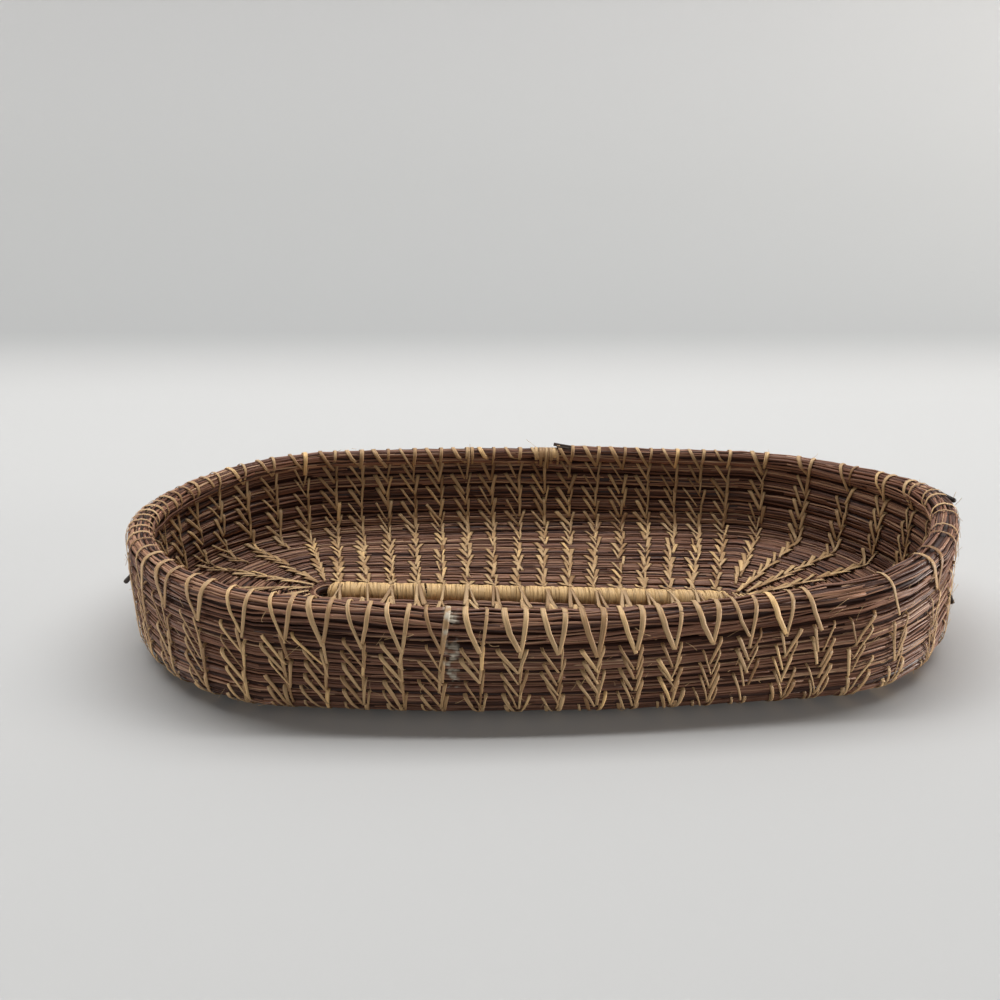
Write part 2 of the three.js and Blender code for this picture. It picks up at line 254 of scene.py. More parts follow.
# %% [markdown]
# A needle, a strand and a blunt end are the same kind of shape: rings in a row, with faces between them and
# lids. Bevelled curves would give it too, but there are thousands, so a block holds a whole set of strips as
# arrays. It also holds three numbers for each vertex, which the materials read: tone picks the colour of the
# whole strand, run is the distance along it and across is the place over its width.

# %% Strips of rings
VERTEX_NUMBERS = ("tone", "run", "across")


def block(rings, joined, tone, run, across):
    """Vertices, faces and numbers of rings[strip, ring, point]: sides between joined rings, lids at ends."""
    index = np.arange(rings[..., 0].size).reshape(rings.shape[:3])
    turned = np.roll(index, -1, axis=2)
    sides = np.stack([index[:, :-1], turned[:, :-1], turned[:, 1:], index[:, 1:]], -1)[joined]
    before = np.pad(joined, ((0, 0), (1, 0)))
    after = np.pad(joined, ((0, 0), (0, 1)))
    faces = [sides.reshape(-1, 4), index[after & ~before][:, ::-1], index[before & ~after]]
    numbers = [np.broadcast_to(value, rings.shape[:3]).ravel() for value in (tone, run, across)]
    return rings.reshape(-1, 3), faces, np.stack(numbers)


print("numbers at each vertex:", *VERTEX_NUMBERS)

# %% [markdown]
# A piece is one part of the basket, such as a coil or a column of stitches. In Blender it is one object, so
# all its strips go into one mesh. Vertices could be added one by one in a loop, but foreach_set copies whole
# arrays at once. The piece is then tied to the body it rides on, to a material slot and to replaced solids.

# %% Pieces
def fill_mesh(name, blocks):
    """One mesh of several blocks: their faces count on from each other, and it has smooth shading."""
    starts = np.cumsum([0] + [len(points) for points, _, _ in blocks])
    points = np.concatenate([points for points, _, _ in blocks]) * MM
    faces = [part + start for (_, parts, _), start in zip(blocks, starts) for part in parts]
    corners = np.concatenate([part.ravel() for part in faces])
    sizes = np.concatenate([np.full(len(part), part.shape[1]) for part in faces])
    numbers = np.concatenate([numbers for _, _, numbers in blocks], 1)
    mesh = bpy.data.meshes.new(name)
    mesh.vertices.add(len(points))
    mesh.vertices.foreach_set("co", points.astype(np.float32).ravel())
    mesh.loops.add(len(corners))
    mesh.loops.foreach_set("vertex_index", corners.astype(np.int32))
    mesh.polygons.add(len(sizes))
    mesh.polygons.foreach_set("loop_start", (np.cumsum(sizes) - sizes).astype(np.int32))
    mesh.polygons.foreach_set("use_smooth", np.ones(len(sizes), dtype=bool))
    mesh.update(calc_edges=True)
    for key, values in zip(VERTEX_NUMBERS, numbers):
        mesh.attributes.new(key, "FLOAT", "POINT").data.foreach_set("value", values.astype(np.float32))
    return mesh, (sizes - 2).sum()


def make_piece(name, blocks, material, slot, *nodes):
    """One object of several blocks, with material, body and replaced solids, giving its triangles; slot is
    not used.
    """
    mesh, triangles = fill_mesh(name, blocks)
    mesh.materials.append(material)
    piece = bpy.data.objects.new(name, mesh)
    bpy.context.scene.collection.objects.link(piece)
    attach(piece, "root")
    if nodes:
        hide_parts(*nodes)
    return triangles


# %% [markdown]
# Needles and raffia are dry, dull plant fibre, with a colour for each strand and streaks along it. A picture
# wrapped round the basket could not follow thousands of strands, so shader nodes compute the colour. Wiring
# nodes takes many lines, and a small class gives each kind a short call.

# %% Shader nodes
def srgb(red, green, blue):
    """Linear colour of a colour given in screen values from 0 to 255, by the sRGB curve."""
    value = np.array([red, green, blue]) / 255
    linear = np.where(value <= 0.04045, value / 12.92, ((value + 0.055) / 1.055) ** 2.4)
    return (*linear.tolist(), 1.0)


class Graph:
    """A new material with short calls for the node kinds used here."""

    def __init__(self, name):
        self.material = bpy.data.materials.new(name)
        self.material.use_nodes = True
        self.nodes = self.material.node_tree.nodes
        self.links = self.material.node_tree.links
        self.shader = self.nodes["Principled BSDF"]

    def feed(self, socket, value):
        """Set a socket to a plain value, or link it to another node's output."""
        if isinstance(value, (int, float, tuple)):
            socket.default_value = value
        else:
            self.links.new(value, socket)

    def attribute(self, name):
        """A number stored at each vertex."""
        node = self.nodes.new("ShaderNodeAttribute")
        node.attribute_name = name
        return node.outputs["Fac"]

    def math(self, kind, first, second=0.0):
        """One step of arithmetic; a difference is kept between zero and one."""
        node = self.nodes.new("ShaderNodeMath")
        node.operation = kind
        node.use_clamp = kind == "SUBTRACT"
        self.feed(node.inputs[0], first)
        self.feed(node.inputs[1], second)
        return node.outputs[0]

    def ramp(self, value, stops):
        """The colour at a value, between the colours of the stops beside it."""
        node = self.nodes.new("ShaderNodeValToRGB")
        while len(node.color_ramp.elements) < len(stops):
            node.color_ramp.elements.new(0.5)
        for element, (place, colour) in zip(node.color_ramp.elements, stops):
            element.position = place
            element.color = colour
        self.feed(node.inputs[0], value)
        return node.outputs[0]

    def mix(self, kind, factor, first, second):
        """Two colours mixed; a Mix node keeps its colour sockets at places 6 and 7."""
        node = self.nodes.new("ShaderNodeMix")
        node.data_type = "RGBA"
        node.blend_type = kind
        self.feed(node.inputs[0], factor)
        self.feed(node.inputs[6], first)
        self.feed(node.inputs[7], second)
        return node.outputs[2]

    def noise(self, vector, scale, detail):
        """Smooth noise over a vector, finer with a greater scale."""
        node = self.nodes.new("ShaderNodeTexNoise")
        node.inputs["Scale"].default_value = scale
        node.inputs["Detail"].default_value = detail
        self.feed(node.inputs["Vector"], vector)
        return node.outputs["Fac"]

    def place(self):
        """Place on the object, and the same split into x, y and z."""
        coordinates = self.nodes.new("ShaderNodeTexCoord").outputs["Object"]
        split = self.nodes.new("ShaderNodeSeparateXYZ")
        self.feed(split.inputs[0], coordinates)
        return coordinates, split.outputs


# %% [markdown]
# Streaks run along every fibre, and a pale greyish upright band crosses needles and stitches on the front,
# left of the middle. One noise in space could make both, but streaks have to bend with each strand. So they
# read the distance along the strand and the place over its width, with the tone as a third direction that
# makes every strand different. The pale band reads the place on the object.

# %% Streaks and the pale band
STRAND_SEED = 731.0
STREAK_DETAIL = 3.0
PALE_BAND_PLACE = -0.032
PALE_BAND_HALF = 0.0026
PALE_BAND_FOOT = 0.012
PALE_BAND_FRONT = -0.06
PALE_BAND_GRAIN = 420.0
PALE_BAND_DETAIL = 2.0
PALE_BAND_LEVEL = 0.47
PALE_BAND_CONTRAST = 7.0


def streaks(graph, run_scale, across_scale):
    """Noise stretched along a strand, different on each strand."""
    node = graph.nodes.new("ShaderNodeCombineXYZ")
    scales = (run_scale, across_scale, STRAND_SEED)
    for socket, name, scale in zip(node.inputs, ("run", "across", "tone"), scales):
        graph.feed(socket, graph.math("MULTIPLY", graph.attribute(name), scale))
    return graph.noise(node.outputs[0], 1.0, STREAK_DETAIL)


def pale_band(graph):
    """Share of the pale band: a parabola over x inside a narrow upright band, broken up by noise."""
    place, (x, y, z) = graph.place()
    beside = graph.math("MULTIPLY", graph.math("ADD", x, -PALE_BAND_PLACE), 1 / PALE_BAND_HALF)
    band = graph.math("SUBTRACT", 1.0, graph.math("POWER", graph.math("ABSOLUTE", beside), 2.0))
    front = graph.math("LESS_THAN", y, PALE_BAND_FRONT)
    high = graph.math("GREATER_THAN", z, PALE_BAND_FOOT)
    grain = graph.math("SUBTRACT", graph.noise(place, PALE_BAND_GRAIN, PALE_BAND_DETAIL), PALE_BAND_LEVEL)
    patch = graph.math("MULTIPLY", grain, PALE_BAND_CONTRAST)
    return graph.math("MULTIPLY", graph.math("MULTIPLY", band, patch), graph.math("MULTIPLY", front, high))


print("pale band", round(2 * PALE_BAND_HALF / MM, 1), "mm wide")

# %% [markdown]
# Old pine needles are brown, and those of the rim are a little paler: painted light on the rim, which faces
# up to the lamps. Raffia is the colour of straw, and the sheaths at the needle ends are nearly black. They
# could be four separate materials, but all are fibre, so one recipe makes them: tone picks the colour, and
# the streaks shade it and give it relief.

# %% Finishes
SHEEN = 0.28
RELIEF_DEPTH = 0.0003
PALE_BAND_COLOUR = srgb(196, 186, 168)
SHADES = ((0.3, srgb(172, 166, 162)), (0.5, srgb(230, 227, 224)), (0.7, srgb(255, 252, 248)))
NEEDLE_STOPS = (
    (0.0, srgb(66, 41, 33)), (0.25, srgb(118, 80, 63)), (0.5, srgb(152, 110, 88)),
    (0.75, srgb(184, 143, 115)), (1.0, srgb(218, 182, 148)),
)
# Share by which the rim's needles are paler: painted light on the rim, which faces up to the lamps
RIM_PAINTED_LIGHT = 1.1
RIM_STOPS = [
    (place, tuple(min(1.0, RIM_PAINTED_LIGHT * value) for value in colour)) for place, colour in NEEDLE_STOPS
]
RAFFIA_SHADES = ((0.3, srgb(202, 197, 191)), (0.5, srgb(237, 234, 231)), (0.7, srgb(255, 252, 248)))
RAFFIA_STOPS = (
    (0.0, srgb(152, 116, 80)), (0.35, srgb(190, 155, 114)),
    (0.7, srgb(210, 178, 135)), (1.0, srgb(242, 203, 145)),
)
SHEATH_STOPS = ((0.0, srgb(30, 22, 19)), (1.0, srgb(74, 58, 48)))


def strand_material(name, stops, shades, roughness, run_scale, across_scale, bump):
    """Colour by tone, shaded by streaks, which also make the relief, with the pale band on top."""
    graph = Graph(name)
    streak = streaks(graph, run_scale, across_scale)
    tone = graph.ramp(graph.attribute("tone"), stops)
    colour = graph.mix("MULTIPLY", 1.0, tone, graph.ramp(streak, shades))
    graph.feed(graph.shader.inputs["Base Color"], graph.mix("MIX", pale_band(graph), colour, PALE_BAND_COLOUR))
    graph.shader.inputs["Roughness"].default_value = roughness
    graph.shader.inputs["Specular IOR Level"].default_value = SHEEN
    relief = graph.nodes.new("ShaderNodeBump")
    relief.inputs["Strength"].default_value = bump
    relief.inputs["Distance"].default_value = RELIEF_DEPTH
    graph.feed(relief.inputs["Height"], streak)
    graph.feed(graph.shader.inputs["Normal"], relief.outputs[0])
    return graph.material


needle_material = strand_material(
    "pine_needles", NEEDLE_STOPS, SHADES, roughness=0.48, run_scale=0.06, across_scale=1.4, bump=0.5)
rim_material = strand_material(
    "rim_needles", RIM_STOPS, SHADES, roughness=0.45, run_scale=0.06, across_scale=1.4, bump=0.5)
raffia_material = strand_material(
    "raffia", RAFFIA_STOPS, RAFFIA_SHADES, roughness=0.5, run_scale=0.1, across_scale=3.4, bump=0.6)
sheath_material = strand_material(
    "sheath", SHEATH_STOPS, SHADES, roughness=0.6, run_scale=0.3, across_scale=2.0, bump=0.5)
print("materials", len(bpy.data.materials))

# %% [markdown]
# A pine needle is 14 to 26 cm long and the coil is several metres, so the maker feeds in new needles all the
# time. Each place in the section of the bundle is a slot, filled by needles laid end to end. A loop could
# place them one after another; counting the needle ends before each ring gives all slots at once.

# %% Needles end to end
NEEDLE_LENGTHS = (140, 260)
SPARE_NEEDLES = 3
rng = np.random.default_rng(7)


def needle_numbers(arc, slots):
    """For each slot and ring: the number of its needle, and the distance to that needle's nearer end."""
    shortest, longest = NEEDLE_LENGTHS
    most = int(arc[-1] / shortest) + SPARE_NEEDLES
    ends = np.cumsum(rng.uniform(shortest, longest, (slots, most)), 1) - rng.uniform(0, longest, (slots, 1))
    number = (arc[None, :, None] > ends[:, None, :]).sum(2)
    before = np.concatenate([np.full((slots, 1), -longest), ends], 1)
    start = np.take_along_axis(before, number, 1)
    stop = np.take_along_axis(before, np.minimum(number + 1, most), 1)
    return number, np.minimum(arc - start, stop - arc), most + 1


print("needles of", *NEEDLE_LENGTHS, "mm")

# %% [markdown]
# In the bundle the needles lie side by side round a squarish section. They are pulled in under each stitch,
# and every one has its own thickness, colour and slight wander. A bumpy texture on a tube would do from far
# away, but the photograph shows gaps and single needles, so each needle is a thin tube with four sides.

# %% Needles of a bundle
NEEDLE_RADIUS = 0.42
NEEDLE_CORNERS = np.arange(4) * np.pi / 2
THICKNESS_SPREAD = (0.75, 1.2)
POINT_SHARE = 0.25
POINT_LENGTH = 2.0
SQUARISH = 0.84
CINCH = 0.07
CINCH_WIDTH = 0.16
SLOT_SPREAD = (-0.22, 0.22)
TWIST = 0.3
TWIST_LENGTHS = (45, 90, 210)
PROUD_SPREAD = (0.88, 1.04)
RIPPLE = 0.05
RIPPLE_LENGTHS = (25, 60)
NEEDLE_TONE = 0.42
NEEDLE_TONE_SPREAD = 0.24
NEEDLE_TONE_LIMITS = (0.06, 0.9)
NEEDLE_RUN = 900


def squarish(value):
    """A sine or cosine raised to a power below one, which makes a circle squarish."""
    return np.sign(value) * np.abs(value) ** SQUARISH


def lay_needles(column, line, slots):
    """Needles round a bundle: a slot is an angle, and the needle lies where the squarish section has it."""
    centre, along, inward, half, deep = line
    arc = np.concatenate([[0], np.cumsum(np.linalg.norm(np.diff(centre, axis=0), axis=1))])
    number, edge, most = needle_numbers(arc, slots)

    def own(low, high):
        """A random value for each needle, given at each of its rings."""
        return np.take_along_axis(rng.uniform(low, high, (slots, most)), number, 1)

    def wander(lengths, size):
        """Sum of sines along the needle, with phases of its own."""
        phases = (arc / length + own(0, 1) for length in lengths)
        return sum(np.sin(2 * np.pi * phase) for phase in phases) * size / len(lengths)

    waist = 1 - CINCH * np.exp(-((np.mod(column, 1) - 0.5) / CINCH_WIDTH) ** 2)
    angle = 2 * np.pi * np.arange(slots)[:, None] / slots + own(*SLOT_SPREAD) + wander(TWIST_LENGTHS, TWIST)
    point = np.clip(POINT_SHARE + edge / POINT_LENGTH, POINT_SHARE, 1)
    radius = NEEDLE_RADIUS * own(*THICKNESS_SPREAD) * point
    proud = own(*PROUD_SPREAD) + wander(RIPPLE_LENGTHS, RIPPLE)
    side_share = squarish(np.sin(angle)) * (half * waist - radius) * proud
    face_share = squarish(np.cos(angle)) * (deep * waist - radius) * proud
    middle = centre + side_share[..., None] * along + face_share[..., None] * inward
    away = np.sin(angle)[..., None] * along + np.cos(angle)[..., None] * inward
    sideways = np.cross(np.broadcast_to(unit(np.gradient(centre, axis=0)), away.shape), away)
    spread = np.cos(NEEDLE_CORNERS)[:, None] * away[:, :, None]
    spread = spread + np.sin(NEEDLE_CORNERS)[:, None] * sideways[:, :, None]
    rings = middle[:, :, None] + radius[..., None, None] * spread
    shade = np.take_along_axis(rng.normal(0, 1, (slots, most)), number, 1)
    tone = np.clip(NEEDLE_TONE + NEEDLE_TONE_SPREAD * shade, *NEEDLE_TONE_LIMITS)
    run = arc + own(0, NEEDLE_RUN)
    joined = number[:, 1:] == number[:, :-1]
    return block(rings, joined, tone[..., None], run[..., None], np.sin(NEEDLE_CORNERS))


print("needles about", 2 * NEEDLE_RADIUS, "mm thick")

# %% [markdown]
# Now the three coils. A real bundle is full of needles, but only the outer ones are seen. A flat tube stands
# for the rest: it closes the row to light and costs few faces, and its colour, the darkest needle tone, is
# painted shade seen in the gaps. Floor and wall are one coil, parted into two pieces as in the solids, and
# the rim is a round of its own with more slots.

# %% Coils of needles
NEEDLE_SLOTS = 23
RIM_SLOTS = 42
RINGS_PER_COLUMN = 2
TUBE_CORNERS = np.arange(6) * np.pi / 3
HEART_WIDTH = 1.28
HEART_THICKNESS = 0.66
RIM_HEART = 0.88
FLOOR_START = -END_COLUMNS / 2
FLOOR_END = LAST_FLOOR_LEVEL * COLUMNS + COLUMNS - END_COLUMNS
TIP_SHARE = 0.2
WALL_END = LAST_LEVEL * COLUMNS + COLUMNS - TIP_SHARE * END_COLUMNS


def dark_shade_tube(line, width):
    """Tube with six sides along the middle of a bundle: shares of its half sizes wide and thick."""
    centre, along, inward, half, deep = line
    inner = np.sin(TUBE_CORNERS)[:, None] * (along * half[:, None] * width)[:, None]
    inner = inner + np.cos(TUBE_CORNERS)[:, None] * (inward * deep[:, None] * HEART_THICKNESS)[:, None]
    # Tone 0 gives the darkest needle colour: painted shade seen in the gaps between needles and rows
    return block((centre[:, None] + inner)[None], np.ones((1, len(centre) - 1), bool), 0.0, 0.0, 0.0)


def bundle(name, line_of, start, end, slots, heart_width, material, slot, node):
    """One piece: needles along a line from one column to another, and the tube of painted shade inside them.
    """
    column = np.linspace(start, end, int((end - start) * RINGS_PER_COLUMN) + 1)
    line = line_of(column)
    blocks = [lay_needles(column, line, slots), dark_shade_tube(line, heart_width)]
    print(name, make_piece(name, blocks, material, slot, node), "triangles")


bundle("floor_needles", coil_line, FLOOR_START, FLOOR_END, NEEDLE_SLOTS, HEART_WIDTH, needle_material,
       "needles", "floor_coil")
bundle("wall_needles", coil_line, FLOOR_END, WALL_END, NEEDLE_SLOTS, HEART_WIDTH, needle_material,
       "needles", "wall_coil")
bundle("rim_bundle", rim_line, RIM_JOIN, RIM_JOIN + COLUMNS, RIM_SLOTS, RIM_HEART, rim_material,
       "rim_needles", "rim_coil")

# %% [markdown]
# Raffia is a flat strip of palm leaf. A strand could be a plane with thickness added by a modifier, but it
# also has to lie flat on whatever it crosses. So it is a small five-sided section carried along a path, with
# the direction that faces out given at every point. The same function makes stitches, bindings, loose fibres
# and the winding of the start.

# %% Flat strands
SECTION = np.array([(-0.5, 1.0), (0.5, 1.0), (1.0, 0.1), (0.0, -0.6), (-1.0, 0.1)])
STRAND_THICKNESS = 0.22
STRAND_RUN = 500
RAFFIA_TONE = 0.5
RAFFIA_TONE_SPREAD = 0.22


def strands(path, normal, width, tone):
    """The section carried along path[strand, point], its face to the normal, with a width at each point."""
    tangent = unit(np.gradient(path, axis=1))
    face = unit(normal - tangent * (normal * tangent).sum(-1, keepdims=True))
    side = np.cross(tangent, face)
    thickness = np.minimum(width, STRAND_THICKNESS)
    across = SECTION[:, 0, None] * side[:, :, None] * (width / 2)[..., None, None]
    over = SECTION[:, 1, None] * face[:, :, None] * (thickness / 2)[..., None, None]
    step = np.linalg.norm(np.diff(path, axis=1), axis=2)
    run = np.concatenate([rng.uniform(0, STRAND_RUN, (len(path), 1)), step], 1).cumsum(1)
    rings = path[:, :, None] + across + over
    return block(rings, np.ones(step.shape, bool), tone[..., None], run[..., None], SECTION[:, 0])


def tones(count):
    """A random tone for each strand: normally spread, kept between 0 and 1."""
    return np.clip(rng.normal(RAFFIA_TONE, RAFFIA_TONE_SPREAD, (count, 1)), 0, 1)


print("strands with", len(SECTION), "sides")

# %% [markdown]
# A stitch is a strand over one row, from a tip in a row before it to the gap after it. Two strands share a
# tip and part like a V: a stem along the column and a barb that leans to one side. Their route could be one
# long curve, but what passes through the bundles is hidden, so each face has strands of its own, sunk at
# both ends.

# %% Stitches over the rows
FLOOR_STRAND_WIDTH = 1.7
WALL_STRAND_WIDTH = 1.45
OUTER_STRAND_WIDTH = 1.12
STRAND_LIFT = 0.26
WIDTH_SPREAD = (0.6, 1.35)
TIP_WIDTH = 0.6
TIP_SINK = 0.8
STITCH_SHARE = np.array([0, 0.06, 0.2, 0.38, 0.56, 0.72, 0.84, 0.93, 1.0])
STITCH_SINK = np.array([-TIP_SINK, 0.02, 0.06, 0.03, 0, 0, 0, 0, -0.2])
BAR_HEIGHT = 4.25
BAR_RADIUS = 3.9
BAR_LIFT = BAR_HEIGHT + BAR_RADIUS - FLOOR_HEIGHT - BUNDLE_HALF
ROUNDNESS = 2.7
LEAST_FACING = 0.3


def over_row(column, level, ahead, face):
    """Path over the rows, round like a bundle towards the gap and raised over the bar, and its facing."""
    centre, along, inward, _, deep = shell(column, level)
    slope = np.clip(2 * ahead, 0, 1)
    dive = (1 - slope ** ROUNDNESS) ** (1 / ROUNDNESS)
    bar_lift = np.clip(-level, 0, 1) * BAR_LIFT * (face > 0)
    proud = deep * (1 - CINCH / 2) * dive + STRAND_LIFT + STITCH_SINK + bar_lift
    normal = face * inward * np.maximum(dive, LEAST_FACING)[..., None] + along * (slope ** 2)[..., None]
    return centre + face * inward * proud[..., None], normal


def stitch_width(on_wall, face):
    """Width by place, from floor to wall or for the outer face, uneven, and narrower at the tip."""
    width = FLOOR_STRAND_WIDTH + (WALL_STRAND_WIDTH - FLOOR_STRAND_WIDTH) * on_wall
    width = np.where(face < 0, OUTER_STRAND_WIDTH, width) * rng.uniform(*WIDTH_SPREAD, on_wall.shape)
    return width * (TIP_WIDTH + (1 - TIP_WIDTH) * STITCH_SHARE)


print("stitches", FLOOR_STRAND_WIDTH, "mm wide on the floor and", OUTER_STRAND_WIDTH, "mm outside")

# %% [markdown]
# Where do the ends of a stitch lie? They could be drawn row by row, but two measures serve all: millimetres
# beside the column, fewer where columns come closer than a full spacing, and rows along it. A maker's hand
# varies, so tips and tops get a little random shift, and now and then a strand is left out.

# %% Places of the stitches
SPACING_PARTS = 10
FULL_SPACING = 9
LEFT_OUT = 0.03
CORNER_ROWS = 2
OUTER_TIP = 0.66
STEM_TOP = -0.9
WALL_BARB_TOP = 5.2
FLOOR_BARB_TOP = 3.0
OUTER_LEAN = 2.6
ROW_SHIFT = 0.1
TIP_SHIFT = 0.45
TOP_SHIFT = 0.6


def column_spacing(centre_of, place):
    """Distance between neighbouring columns, from two places a tenth of a column apart."""
    beside = centre_of(place + 0.5 / SPACING_PARTS) - centre_of(place - 0.5 / SPACING_PARTS)
    return np.linalg.norm(beside, axis=-1) * SPACING_PARTS


def stitches(place, rows, face, barb, reach):
    """A strand a row on the inner (1) or outer (-1) face, from a tip to the top of stem (0) or barb (1)."""
    rows = rows[rng.uniform(0, 1, len(rows)) > LEFT_OUT][:, None]
    row_levels = rows + climb(place)
    ahead = reach + rng.normal(0, ROW_SHIFT, rows.shape) + (0.5 - reach) * STITCH_SHARE
    on_wall = np.clip((row_levels - LAST_FLOOR_LEVEL) / CORNER_ROWS, 0, 1)
    barb_top = FLOOR_BARB_TOP + (WALL_BARB_TOP - FLOOR_BARB_TOP) * on_wall
    spacing = column_spacing(lambda column: row_centre(column, row_levels), place)
    lean = OUTER_LEAN * fan_line(place)[0] / HALF_START * (face < 0)
    tip = OUTER_TIP * barb_top * (face < 0) + rng.normal(0, TIP_SHIFT, rows.shape)
    top = STEM_TOP + (barb_top - STEM_TOP) * barb + lean + rng.normal(0, TOP_SHIFT, rows.shape)
    beside = (tip + (top - tip) * STITCH_SHARE) * np.minimum(1, spacing / FULL_SPACING)
    column = place + beside / spacing
    path, normal = over_row(column, rows + climb(column) + ahead, ahead, face)
    return strands(path, normal, stitch_width(on_wall, face), tones(len(rows)))


back_spacing = column_spacing(lambda column: rim_line(column)[0], SIDE_COLUMNS / 2)
print("columns at the back are", back_spacing.round(1), "mm apart")

# %% [markdown]
# Over the rim the strands run from a tip on the outer face, tight round the bundle, to a tip on the inner
# face. A ring round the rim would be simpler, but the strands part at the top and meet at the tips. So the
# path goes up the outside, round the section and down the inside. The bindings near the end of the rim are
# the same strand without the parting.

# %% Strands over the rim
RIM_STRAND_WIDTH = 1.55
RIM_WIDTH_SPREAD = (0.65, 1.2)
RIM_ANGLES = np.radians([0, 20, 45, 70, 95, 120, 145, 175])
RIM_SHARE = np.array([0.65, 0.78, 0.91, 0.98, 1, 0.93, 0.82, 0.65])
OUTSIDE_ANGLE = 1.5
RIM_LIFT = STRAND_LIFT * 0.5
FOOT_WAY = np.array([0, 0.05, 0.35, 0.7])[:, None]
RIM_TIPS = np.array([0.0, 0.15])
RIM_TIP_SHIFT = 0.2
RIM_SWELL = np.sin(np.linspace(0.2, 2.9, 16))


def round_rim(column):
    """Points round the squarish section of the rim, and the directions that face out there."""
    middle, up, inward, half, thick = rim_line(np.where(column < RIM_JOIN, column + COLUMNS, column))
    tall = squarish(np.sin(RIM_ANGLES)) * (half + RIM_LIFT)
    wide = squarish(np.cos(RIM_ANGLES)) * (thick + RIM_LIFT)
    around = np.sin(RIM_ANGLES)[:, None] * up - np.cos(RIM_ANGLES)[:, None] * inward
    return middle + tall[:, None] * up - wide[:, None] * inward, around


def rim_stitch(place, tip, top, end):
    """One strand from a tip on the outer face, tight over the rim, to a tip on the inner face."""
    spacing = column_spacing(lambda column: rim_line(np.array(column))[0], place)
    feet_beside = np.where(RIM_ANGLES < OUTSIDE_ANGLE, tip, end)
    over, around = round_rim(place + (feet_beside * (1 - RIM_SHARE) + top * RIM_SHARE) / spacing)
    drop = RIM_TIPS + rng.normal(0, RIM_TIP_SHIFT, 2)
    foot, _, inward, _, deep = shell(place + np.array([tip, end]) / spacing, LAST_LEVEL + drop)
    foot = foot + inward * ((deep + STRAND_LIFT) * [-1, 1])[:, None]
    outer = foot[0] + (over[0] - foot[0]) * FOOT_WAY + inward[0] * TIP_SINK * (FOOT_WAY == 0)
    inner = foot[1] + (over[-1] - foot[1]) * FOOT_WAY - inward[1] * TIP_SINK * (FOOT_WAY == 0)
    path = np.concatenate([outer, over, inner[::-1]])[None]
    normal = np.concatenate([0 * outer - inward[0], around, 0 * inner + inward[1]])[None]
    width = RIM_STRAND_WIDTH * rng.uniform(*RIM_WIDTH_SPREAD)
    width = width * (TIP_WIDTH + (1 - TIP_WIDTH) * RIM_SWELL)[None]
    return strands(path, normal, width, tones(1))


print("points of a strand over the rim", len(RIM_SWELL))

# %% [markdown]
# Raffia frays: fine fibres have worked loose on the outside, most of all on the right end. Blender's hair
# would make them, but every piece here is a mesh, so they are very thin strands. Each starts on the wall,
# moves off it and curls by a square of the way, and none goes below the table.

# %% Loose fibres
FIBRE_WIDTH = 0.13
FIBRE_WIDTH_SPREAD = (0.6, 1.3)
FIBRE_POINTS = 5
FIBRE_OFF = 0.4
FIBRE_SPREADS = np.array([0.5, 1.6, 2.2, 1.5])[:, None, None, None]
FIBRE_LEVELS = (LAST_FLOOR_LEVEL + 1, LAST_LEVEL + 1.5)
FIBRE_DARKEST = 0.2


def frayed(place, count):
    """Fine fibres: arcs of random reach off the wall, lift along it, swing aside and curl."""
    column = place + rng.uniform(-0.5, 0.5, (count, 1))
    foot, along, inward, _, deep = shell(column, rng.uniform(*FIBRE_LEVELS, (count, 1)))
    way = np.linspace(0, 1, FIBRE_POINTS)[:, None]
    aside = np.cross(along, inward)
    reach, lift, swing, curl = rng.normal(0, 1, (len(FIBRE_SPREADS), count, 1, 1)) * FIBRE_SPREADS
    path = foot - inward * (deep[..., None] + way * (FIBRE_OFF + np.abs(reach)))
    path = path + along * (lift * way + curl * way ** 2) + aside * (swing * way - curl * way ** 2)
    path[..., 2] = np.maximum(path[..., 2], FIBRE_WIDTH)
    width = FIBRE_WIDTH * rng.uniform(*FIBRE_WIDTH_SPREAD, (count, 1)) + 0 * way.T
    tone = FIBRE_DARKEST + (1 - FIBRE_DARKEST) * tones(count)
    return strands(path, -inward + 0 * path, width, tone)


print("fibres", FIBRE_WIDTH, "mm wide")

# %% [markdown]
# A column is made of stitches one above another, one on each round of the coil. All columns could be one
# object, but each has a solid of its own, so it is a piece of its own. The left end has more columns than
# solids, and each piece takes those that fall in its share; every other one starts only at the corner, where
# there is room for it. Near the right end of the front some strands over the rim are missing.

# %% Columns of stitches
INNER_REACH = -1.1
OUTER_REACH = -1.55
STITCH_KINDS = ((1, 0, INNER_REACH), (1, 1, INNER_REACH), (-1, 0, OUTER_REACH), (-1, 1, OUTER_REACH))
RIM_STRANDS = {40.5: 1, 41.5: 0, 42.5: 1}
BINDINGS = {7.5: (-5.4, -4.0, -2.7, -1.2, 0.3, 1.6, 3.4), 10.5: (-2.6, -1.0)}
FIBRES = 4
RIGHT_FIBRES = 26
LEFT_COLUMNS = 14
SIDES = (
    ("back", 0, SIDE_COLUMNS, SIDE_COLUMNS),
    ("left", SIDE_COLUMNS, END_COLUMNS, LEFT_COLUMNS),
    ("front", COLUMNS // 2, SIDE_COLUMNS, SIDE_COLUMNS),
    ("right", COLUMNS - END_COLUMNS, END_COLUMNS, END_COLUMNS),
)
FIRST_ROWS = {"back": (0, 0), "left": (1, 8), "front": (0, 0), "right": (0, 1)}


def stitch_column(place, first):
    """Blocks of one column: the strands on both faces of every row, those over the rim, loose fibres."""
    on_right_end = place > COLUMNS - END_COLUMNS
    rows = np.arange(first, LAST_LEVEL + (0 if on_right_end else 1)).astype(float)
    blocks = [stitches(place, rows, face, barb, reach) for face, barb, reach in STITCH_KINDS]
    for top in (STEM_TOP, WALL_BARB_TOP)[:RIM_STRANDS.get(place, 2)]:
        blocks.append(rim_stitch(place, OUTER_TIP * WALL_BARB_TOP, top, 0.0))
    for offset in BINDINGS.get(place, ()):
        blocks.append(rim_stitch(place, offset, offset, offset))
    return blocks + [frayed(place, RIGHT_FIBRES if on_right_end else FIBRES)]


